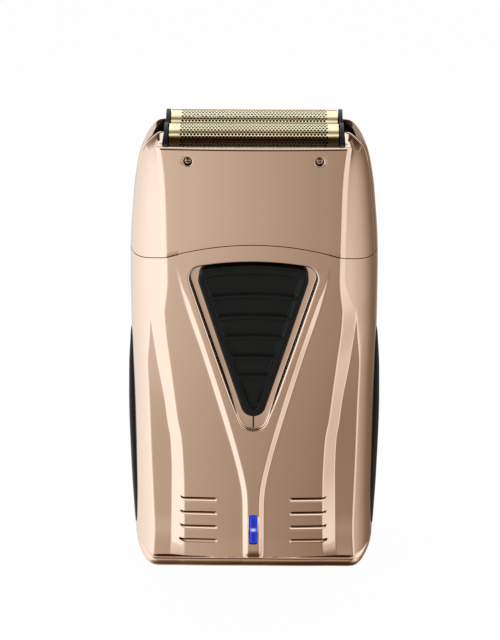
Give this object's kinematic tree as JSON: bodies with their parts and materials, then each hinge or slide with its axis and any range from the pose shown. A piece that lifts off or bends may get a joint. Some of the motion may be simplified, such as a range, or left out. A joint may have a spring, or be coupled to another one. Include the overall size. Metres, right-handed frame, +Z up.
{
  "type": "foil shaver",
  "caption": "Cordless foil shaver: plated housing, wedge-shaped thumb switch, side grips, and sprung cutters on a sliding bridge under a lift-off foil cassette.",
  "frame": {"origin": "centre of the overall box at the flat base that the shaver stands on", "axes": "+Z up from the base to the foils, -Y out of the front with the thumb switch, +X to the right seen from the front"},
  "size_m": [0.0624, 0.034, 0.115],
  "materials": {
    "plated_plastic": "rose-gold mirror plating on moulded plastic",
    "rubber": "matte soft-touch black",
    "dark_plastic": "satin black moulding",
    "pale_plastic": "natural white moulding",
    "board": "green laminate",
    "lens": "clear blue light guide",
    "cell": "shrink-wrapped cell",
    "steel": "bright steel",
    "brass": "turned brass",
    "gold_foil": "gold-coated thin perforated sheet"
  },
  "bodies": {
    "housing": {"head_front_cover": "plated_plastic", "head_rear_cover": "plated_plastic", "body_front_cover": "plated_plastic", "body_rear_cover": "plated_plastic", "grip_left": "rubber", "grip_right": "rubber", "head_screw_front_left": "steel", "head_screw_front_right": "steel", "head_screw_rear_left": "steel", "head_screw_rear_right": "steel", "body_screw_low_left": "steel", "body_screw_low_right": "steel", "body_screw_high_left": "steel", "body_screw_high_right": "steel", "slide_switch": "dark_plastic", "indicator_lens": "lens", "indicator_led": "pale_plastic", "circuit_board": "board", "charging_socket": "dark_plastic", "socket_pin": "steel", "battery_cell": "cell", "battery_tab_negative": "steel", "battery_tab_positive": "steel", "motor_can": "steel", "motor_end_cap": "pale_plastic", "chassis": "dark_plastic", "head_deck": "dark_plastic", "hair_seal": "rubber", "guide_rod_front": "steel", "guide_rod_rear": "steel"},
    "thumb_switch": {"switch_pad": "rubber", "switch_slider": "dark_plastic", "slide_switch_lever": "pale_plastic"},
    "rotor": {"motor_shaft": "steel", "eccentric_cam": "brass"},
    "oscillator": {"oscillator_bridge": "pale_plastic", "cutter_spring_front": "steel", "cutter_spring_rear": "steel"},
    "front_cutter": {"cutter_carrier_front": "dark_plastic", "cutter_front": "steel"},
    "rear_cutter": {"cutter_carrier_rear": "dark_plastic", "cutter_rear": "steel"},
    "foil_cassette": {"foil_frame": "dark_plastic", "foil_front": "gold_foil", "foil_rear": "gold_foil"}
  },
  "joints": [
    {"name": "switch_slide", "type": "slide", "parent": "housing", "child": "thumb_switch", "axis": [0, 0, -1], "range_m": [0, 0.0031]},
    {"name": "motor_spin", "type": "hinge", "parent": "housing", "child": "rotor", "pos_m": [0, 0, 0.09], "axis": [0, 0, 1], "continuous": true},
    {"name": "bridge_slide", "type": "slide", "parent": "housing", "child": "oscillator", "axis": [1, 0, 0], "range_m": [-0.001, 0.001]},
    {"name": "front_cutter_plunge", "type": "slide", "parent": "oscillator", "child": "front_cutter", "axis": [0, 0, -1], "range_m": [0, 0.0008], "stiffness_N_per_m": 300, "springref_m": -0.002, "deforming": ["cutter_spring_front"]},
    {"name": "rear_cutter_plunge", "type": "slide", "parent": "oscillator", "child": "rear_cutter", "axis": [0, 0, -1], "range_m": [0, 0.0008], "stiffness_N_per_m": 300, "springref_m": -0.002, "deforming": ["cutter_spring_rear"]},
    {"name": "cassette_lift", "type": "slide", "parent": "housing", "child": "foil_cassette", "axis": [0, 0, 1], "range_m": [0, 0.025]}
  ]
}
